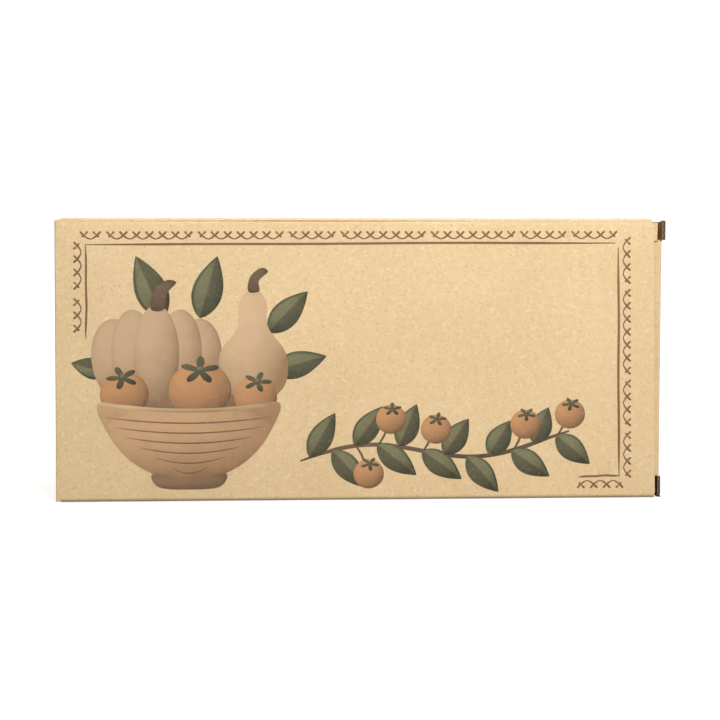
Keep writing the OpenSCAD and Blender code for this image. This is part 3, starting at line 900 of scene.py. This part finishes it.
def ears():
    e, rise, tip_z, tip_r, wide_r, root, root_r = 2.2, 43.07, 31.99, 10.08, 14, 9, 7
    circles = ring(0, tip_z, tip_r - e, 48) + ring(0, rise / 2, wide_r - e, 48) + ring(0, root, root_r - e, 48)
    loop = hull(circles + [(-root_r + e, -root + e), (root_r - e, -root + e)])
    for name, s in (("ear_left", -1), ("ear_right", 1)):
        place = (at(s * 20, 0, FOOT + 106.93) @ Matrix.Rotation(s * math.radians(14), 4, "Y")
                 @ Matrix.Rotation(s * math.radians(34), 4, "Z") @ UPRIGHT)
        solid(name + "_shape", [loop], 7, place, ear_stain, "rocker", [name], e)


def paw(cx, cz, rx, rz, turn):
    """A foot with three toes at its upper end."""
    out = []
    for a in range(0, 360, 4):
        toe = 2.0 * abs(math.sin(math.pi * (a - 36) / 36)) if 36 < a < 144 else 0.0
        out.append(((rx + toe) * math.cos(math.radians(a)), (rz + toe) * math.sin(math.radians(a))))
    return turned(out, cx, cz, turn)


def face():
    """A plain sleeping face and two feet, as flat paint on the front of the rabbit."""

    def paint(name, shapes, layer, colour):
        parts = [outline(name, [shape]) for shape in shapes]
        give(dress(settle(parts, at(0, -18.03 - 0.02 * layer, 0) @ UPRIGHT, name), colour), "rocker")

    eyes, lashes = [], []
    for s in (-1, 1):
        eyes.append(stroke(arc(17 * s, 86.5, 6.2, 22, 158, 18), 2.3, 0.2))
        for x0, z0, x1, z1 in ((25.4, 88.2, 28.6, 90.2), (25.0, 86.6, 29.6, 86.4)):
            lash = [(s * (x0 + (x1 - x0) * i / 6), z0 + (z1 - z0) * i / 6) for i in range(7)]
            lashes.append(stroke(lash, 1.2, 0.3))
    paint("rabbit_cheeks", [ellipse(-25, 79.5, 6.2, 5.6), ellipse(25, 79.5, 6.2, 5.6)], 0, blush)
    paint("rabbit_eyes", eyes, 1, face_brown)
    paint("rabbit_lashes", lashes, 2, face_brown)
    paint("rabbit_nose", [ellipse(0, 83.2, 2.5, 1.7)], 1, face_brown)
    paint("rabbit_mouth", [stroke(arc(-2.5, 79.6, 2.5, 190, 352, 12), 1.1),
                           stroke(arc(2.5, 79.6, 2.5, 188, 350, 12), 1.1),
                           stroke([(0, 82.2 - 0.45 * i) for i in range(7)], 1.0)], 2, face_brown)
    paint("rabbit_feet", [paw(-20, 27, 8, 10.5, 14), paw(20, 27, 8, 10.5, -14)], 0, paw_stain)


tray()
rabbit()
ears()
face()
for name in ("waist_dowel_1", "waist_dowel_2"):
    dress(nodes[name], tray_wood)


# Carrots: one turned root and one tuft of felt leaves, copied to the ten holes

def turned_root():
    length, wide = ROOT_L, ROOT_R
    tip_r = 0.3 * wide
    profile = [(0.62 * tip_r, 0), (0.86 * tip_r, 0.008), (tip_r, 0.05), (0.62 * wide, 0.37), (0.86 * wide, 0.58),
               (0.97 * wide, 0.7), (wide, 0.765), (0.985 * wide, 0.82), (0.92 * wide, 0.875), (0.82 * wide, 0.93),
               (0.68 * wide, 0.975), (0.5 * wide, 1.0), (0.3 * wide, 1.0)]
    bpy.ops.object.select_all(action="DESELECT")
    bpy.ops.mesh.primitive_circle_add(vertices=40, radius=profile[0][0] * MM, fill_type="NGON")
    obj = bpy.context.object
    bpy.ops.object.mode_set(mode="EDIT")
    bpy.ops.mesh.select_all(action="SELECT")
    for (r0, z0), (r1, z1) in zip(profile, profile[1:]):
        bpy.ops.mesh.extrude_region_move(TRANSFORM_OT_translate={"value": (0, 0, (z1 - z0) * length * MM)})
        bpy.ops.transform.resize(value=(r1 / r0, r1 / r0, 1))
    bpy.ops.mesh.select_all(action="SELECT")
    bpy.ops.mesh.normals_make_consistent(inside=False)
    bpy.ops.object.mode_set(mode="OBJECT")
    shade = obj.data.attributes.new("tip_shade", "FLOAT", "POINT")
    for v, value in zip(obj.data.vertices, shade.data):
        value.value = 1.0 if v.co.z < 0.03 * length * MM else 0.0
    return obj


def felt_leaf(long, wide, lean, curl, cup):
    """One leaf standing on the origin, leaning towards +X."""
    bpy.ops.object.select_all(action="DESELECT")
    bpy.ops.mesh.primitive_grid_add(x_subdivisions=6, y_subdivisions=12, size=2)
    obj = bpy.context.object
    for v in obj.data.vertices:
        u, t = v.co.x, (v.co.y + 1) / 2
        round_tip = math.sqrt(1 - 0.96 * (max(t - 0.52, 0) / 0.48) ** 2)
        half = wide / 2 * (0.24 + 0.76 * math.sin(math.pi * (0.06 + 0.6 * t))) * round_tip
        angle = math.radians(lean + curl * t)
        out = long * t * math.sin(angle) - cup * u * u * math.sin(math.pi * (0.12 + 0.8 * t))
        v.co = Vector((out, u * max(half, 0.35), long * t * math.cos(angle))) * MM
    pick(obj)
    mod = obj.modifiers.new("felt", "SOLIDIFY")
    mod.thickness, mod.offset = 1.5 * MM, 0
    bpy.ops.object.modifier_apply(modifier=mod.name)
    mod = obj.modifiers.new("soft", "SUBSURF")
    mod.levels = mod.render_levels = 1
    bpy.ops.object.modifier_apply(modifier=mod.name)
    return obj


def tuft():
    leaves = []
    rings = ((5, 0, 23, 12.5, 13, 14, 2.0), (4, 36, 25, 11.5, 4, 10, 1.0))
    for count, first, long, wide, lean, curl, off in rings:
        for k in range(count):
            obj = felt_leaf(long - 1.6 * (k % 2), wide, lean, curl, 2.6)
            obj.matrix_world = (Matrix.Rotation(math.radians(first + 360 / count * k), 4, "Z")
                                @ Matrix.Translation((off * MM, 0, -1.5 * MM)))
            leaves.append(obj)
    pick(*leaves)
    bpy.ops.object.join()
    bpy.ops.object.transform_apply(location=True, rotation=True, scale=True)
    return bpy.context.object


TUFT_TURN = 37
root_model, tuft_model = turned_root(), tuft()
for i, (x, y, size) in enumerate(carrot_spots(), start=1):
    z = TRAY_TOP - ROOT_SINK * size
    for name, model, lift, finish, slot, node in (
            ("root", root_model, 0, carrot_stain, "carrot_stain", "carrot_root_"),
            ("leaf_tuft", tuft_model, ROOT_L * size, felt, "green_felt", "carrot_leaves_")):
        obj = model.copy()
        obj.data = model.data.copy()
        obj.name = obj.data.name = f"carrot_{i}_{name}"
        bpy.context.collection.objects.link(obj)
        turn = Matrix.Rotation(math.radians(TUFT_TURN * i), 4, "Z")
        obj.matrix_world = at(x, y, z + lift) @ turn @ Matrix.Scale(size, 4)
        pick(obj)
        bpy.ops.object.transform_apply(location=True, rotation=True, scale=True)
        give(dress(obj, finish), f"carrot_{i}", [node + str(i)])
bpy.data.objects.remove(root_model)
bpy.data.objects.remove(tuft_model)


# Floor, light and camera

def floor_material():
    """White to the camera, apart from the shadow and a painted contact shadow: a darker band along the front and back
    where the carton touches it.
    """
    mat, tree, shader = material("pale_floor", 0.9, 0.1)
    where = add(tree, "TexCoord").outputs["Object"]
    tone = mix(tree, noise(tree, where, (3, 3, 3)), (0.44, 0.44, 0.44, 1), (0.48, 0.48, 0.48, 1))
    tree.links.new(tone, shader.inputs["Base Color"])
    far = add(tree, "VectorMath", {0: where}, operation="LENGTH").outputs["Value"]
    glow = between(tree, far, 0.2, 0.7, 1.0, 0.76)
    off = add(tree, "SeparateXYZ", {0: add(tree, "VectorMath", {0: where}, operation="ABSOLUTE").outputs[0]})
    # Painted contact shadow: the glow drops to 0.6 within 5 mm of the front and back of the carton.
    clear = math_node(tree, "MAXIMUM", between(tree, off.outputs["Y"], HALF_D * MM, (HALF_D + 5) * MM, 1.0, 0.6),
                      between(tree, off.outputs["X"], (HALF_L - 6) * MM, (HALF_L - 2) * MM))
    glow = math_node(tree, "MULTIPLY", glow, clear)
    shader.inputs["Emission Color"].default_value = (1, 1, 1, 1)
    tree.links.new(math_node(tree, "MULTIPLY", looked_at(tree), glow), shader.inputs["Emission Strength"])
    return mat


bpy.ops.object.select_all(action="DESELECT")
bpy.ops.mesh.primitive_plane_add(size=14, location=(0, 0, -0.0002))
floor = bpy.context.object
floor.name = "floor"
floor.data.materials.append(floor_material())

world = bpy.data.worlds.new("studio")
bpy.context.scene.world = world
world.use_nodes = True
tree = world.node_tree
sky = tree.nodes["Background"]
sky.inputs["Color"].default_value = (1, 1, 1, 1)
tree.links.new(between(tree, looked_at(tree), 0, 1, 1.05, 0.25), sky.inputs["Strength"])


def lamp(name, place, aim, size, power):
    bpy.ops.object.light_add(type="AREA", location=place)
    obj = bpy.context.object
    obj.name = name
    obj.data.shape = "RECTANGLE"
    obj.data.size, obj.data.size_y = size
    obj.data.energy = power
    obj.rotation_euler = (Vector(aim) - Vector(place)).to_track_quat("-Z", "Y").to_euler()


lamp("key_high_front", (0.12, -0.62, 0.62), (0.04, 0, 0.13), (0.45, 0.3), 5.1)
lamp("fill_right", (1.5, -0.7, 0.9), (0, 0, 0.1), (1.0, 0.8), 4)
lamp("fill_back", (-1.2, 1.3, 0.9), (0, 0, 0.1), (1.0, 0.8), 8)
lamp("over_top", (0.1, 0.1, 1.6), (0, 0, 0.1), (1.4, 1.0), 4)

yaw, pitch, roll = math.radians(4.735), math.radians(3.05), math.radians(0.05)
ahead = Vector((math.sin(yaw) * math.cos(pitch), math.cos(yaw) * math.cos(pitch), -math.sin(pitch)))
right = Vector((math.cos(yaw), -math.sin(yaw), 0))
up = right.cross(ahead)
right, up = right * math.cos(roll) + up * math.sin(roll), up * math.cos(roll) - right * math.sin(roll)
bpy.ops.object.camera_add()
camera = bpy.context.object
camera.name = "photo_camera"
camera.data.lens = 120
camera.data.sensor_width = 36
stand = Matrix.Translation(Vector((-111.3, -1391.1, 150.0)) * MM)
camera.matrix_world = stand @ Matrix((right, up, -ahead)).transposed().to_4x4()
bpy.context.scene.camera = camera
bpy.context.scene.view_settings.view_transform = "Standard"
